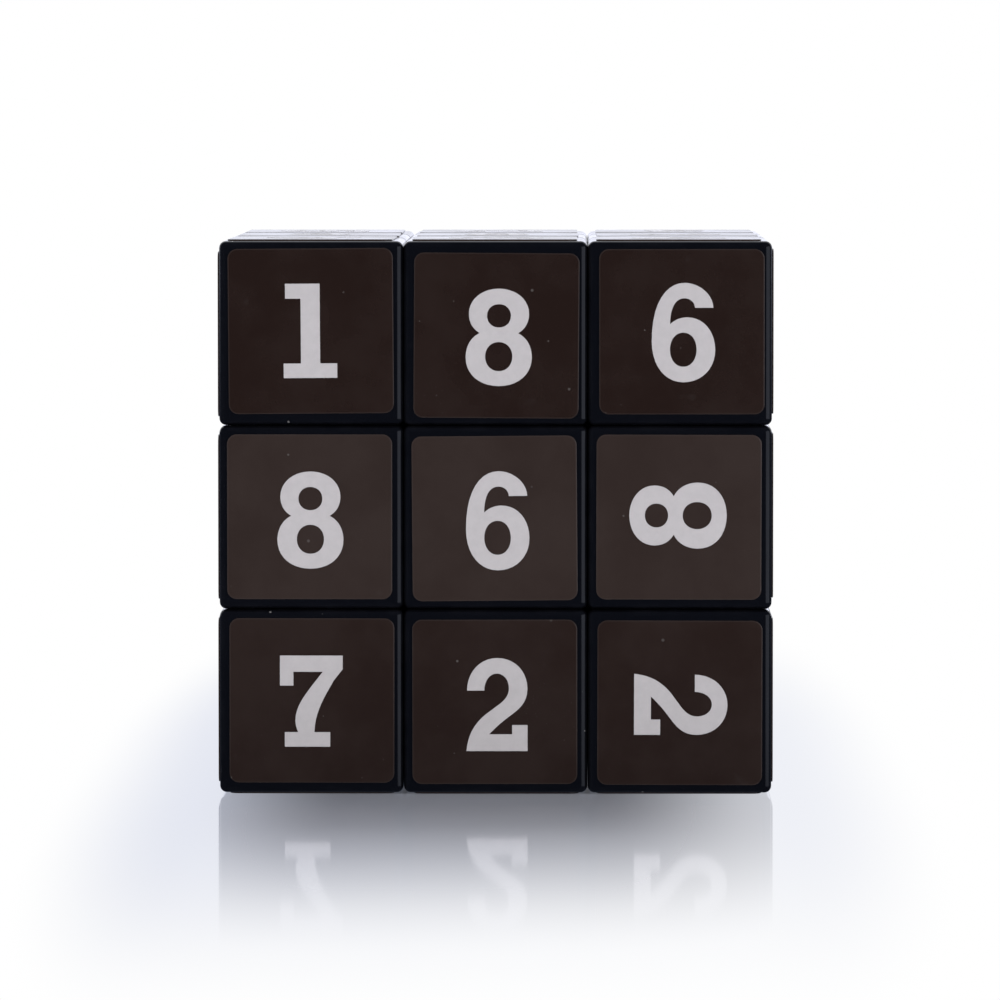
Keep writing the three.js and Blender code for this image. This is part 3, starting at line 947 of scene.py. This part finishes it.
def floor_material():
    """A pale gloss floor: its mirror image, a painted shadow and a painted bluish shade all fade away from
    the cube.
    """
    material = bpy.data.materials.new("pale_gloss_floor")
    material.use_nodes = True
    nodes = Nodes(material.node_tree)
    nodes.tree.nodes.clear()
    place = nodes.add("ShaderNodeTexCoord").outputs["Object"]
    parts = nodes.add("ShaderNodeSeparateXYZ", {"Vector": place}).outputs
    half = HALF * MM

    def past(along, edge):
        return nodes.math("MAXIMUM", nodes.math("SUBTRACT", along, edge), 0.0)

    before = past(nodes.math("MULTIPLY", parts["Y"], -1.0), half)
    behind = past(parts["Y"], half)
    beside = past(nodes.math("ABSOLUTE", parts["X"]), half)
    shifted = nodes.math("ABSOLUTE", nodes.math("ADD", parts["X"], SHADOW_SHIFT))
    beside_shadow = past(shifted, half - SHADOW_INSET)

    def away(sideways, stretch):
        inputs = {"X": sideways, "Y": before, "Z": behind}
        around = nodes.add("ShaderNodeCombineXYZ", inputs).outputs[0]
        around = nodes.add("ShaderNodeVectorMath", {0: around, 1: stretch}, operation="MULTIPLY")
        length = nodes.add("ShaderNodeVectorMath", {0: around.outputs[0]}, operation="LENGTH")
        return length.outputs["Value"]

    mirror = away(beside_shadow, MIRROR_STRETCH)
    mirror = nodes.span(mirror, MIRROR_FULL, MIRROR_REACH, MIRROR_SHARE, 0.0)
    # Painted shadow: near the cube the camera sees the lit matt floor with its real shadow, further out
    # plain white covers it
    fade = nodes.span(away(beside_shadow, SHADOW_STRETCH), 0.0, SHADOW_REACH, SHADOW_LIGHT, 1.0)
    # Painted shade: the plain white turns a darker blue-grey near the cube, weaker on the right
    painted_shade = nodes.span(away(beside, PAINTED_SHADE_STRETCH), 0.0, PAINTED_SHADE_REACH, 1.0, 0.0)
    painted_shade = nodes.math("MULTIPLY", painted_shade, nodes.span(parts["X"], -half, half, 1.0, PAINTED_SHADE_ON_RIGHT))
    tint = nodes.blend(painted_shade, (1, 1, 1, 1), (0.67, 0.7, 0.81, 1))
    matt = nodes.add("ShaderNodeBsdfDiffuse", {"Color": (0.8, 0.82, 0.9, 1)})
    white = nodes.add("ShaderNodeEmission", {"Color": tint, "Strength": 1.0})
    seen = nodes.add("ShaderNodeLightPath").outputs["Is Camera Ray"]
    shares = {0: nodes.math("MULTIPLY", seen, fade), 1: matt.outputs[0], 2: white.outputs[0]}
    pale = nodes.add("ShaderNodeMixShader", shares)
    inputs = {"Color": (1, 1, 1, 1), "Roughness": MIRROR_ROUGHNESS}
    gloss = nodes.add("ShaderNodeBsdfGlossy", inputs)
    shares = {0: mirror, 1: pale.outputs[0], 2: gloss.outputs[0]}
    both = nodes.add("ShaderNodeMixShader", shares)
    out = nodes.add("ShaderNodeOutputMaterial")
    nodes.tree.links.new(both.outputs[0], out.inputs["Surface"])
    return material


def add_floor():
    """The floor, just under the bottom stickers; the cube's gloss doesn't mirror it."""
    bm = bmesh.new()
    bmesh.ops.create_circle(bm, cap_ends=True, segments=96, radius=FLOOR_RADIUS)
    data = mesh_from(bm, "floor")
    data.materials.append(floor_material())
    floor = bpy.data.objects.new("floor", data)
    floor.location.z = -FLOOR_DROP
    floor.visible_glossy = False
    bpy.context.scene.collection.objects.link(floor)


def add_lamp(name, place, size, power, colour, mirrored):
    """A rectangular lamp that faces the middle of the cube."""
    lamp = bpy.data.lights.new(name, "AREA")
    lamp.shape = "RECTANGLE"
    lamp.size, lamp.size_y = size
    lamp.energy = power
    lamp.color = colour
    holder = bpy.data.objects.new(name, lamp)
    holder.location = place
    holder.visible_glossy = mirrored
    holder.rotation_euler = (MIDDLE - Vector(place)).to_track_quat("-Z", "Y").to_euler()
    bpy.context.scene.collection.objects.link(holder)


def add_sky():
    """Light from the horizon behind the cube and little from the front, so that black sides stay black.

    The camera sees plain white all round, and gloss sees some of it behind the cube.
    """
    world = bpy.data.worlds.new("studio")
    bpy.context.scene.world = world
    world.use_nodes = True
    nodes = Nodes(world.node_tree)
    nodes.tree.nodes.clear()
    way = nodes.add("ShaderNodeTexCoord").outputs["Generated"]
    parts = nodes.add("ShaderNodeSeparateXYZ", {"Vector": way}).outputs
    above = nodes.span(parts["Z"], -0.03, 0.005)
    behind = nodes.math("MULTIPLY", above, nodes.span(parts["Y"], 0.15, 0.65))
    height = nodes.math("ABSOLUTE", nodes.math("SUBTRACT", parts["Z"], HORIZON_HEIGHT))
    horizon = nodes.math("MULTIPLY", behind, nodes.span(height, 0.02, 0.06, 1.0, 0.0))
    colour = nodes.blend(behind, SKY_FRONT, SKY_BEHIND)
    colour = nodes.blend(horizon, colour, SKY_HORIZON)
    paths = nodes.add("ShaderNodeLightPath").outputs
    bounced = nodes.math("MAXIMUM", paths["Is Glossy Ray"], paths["Is Transmission Ray"])
    bounced = nodes.math("MULTIPLY", bounced, nodes.math("MULTIPLY", behind, SKY_IN_GLOSS))
    seen = nodes.math("MAXIMUM", paths["Is Camera Ray"], bounced)
    light = nodes.add("ShaderNodeBackground", {"Color": colour, "Strength": 1.0})
    white = nodes.add("ShaderNodeBackground", {"Color": (1, 1, 1, 1), "Strength": 1.0})
    mixed = nodes.add("ShaderNodeMixShader", {0: seen, 1: light.outputs[0], 2: white.outputs[0]})
    out = nodes.add("ShaderNodeOutputWorld")
    nodes.tree.links.new(mixed.outputs[0], out.inputs["Surface"])


def add_camera():
    data = bpy.data.cameras.new("camera")
    data.sensor_width = CAMERA_SENSOR
    data.lens = CAMERA_LENS
    data.clip_start, data.clip_end = 0.05, 10
    camera = bpy.data.objects.new("camera", data)
    camera.location = CAMERA_PLACE
    camera.rotation_euler = (math.radians(90 - LOOKS_DOWN), 0, math.radians(LOOKS_LEFT))
    bpy.context.scene.collection.objects.link(camera)
    bpy.context.scene.camera = camera


add_floor()
add_sky()
for lamp_name, lamp_values in LAMPS.items():
    add_lamp(lamp_name, *lamp_values)
add_camera()
bpy.context.scene.view_settings.view_transform = "Standard"
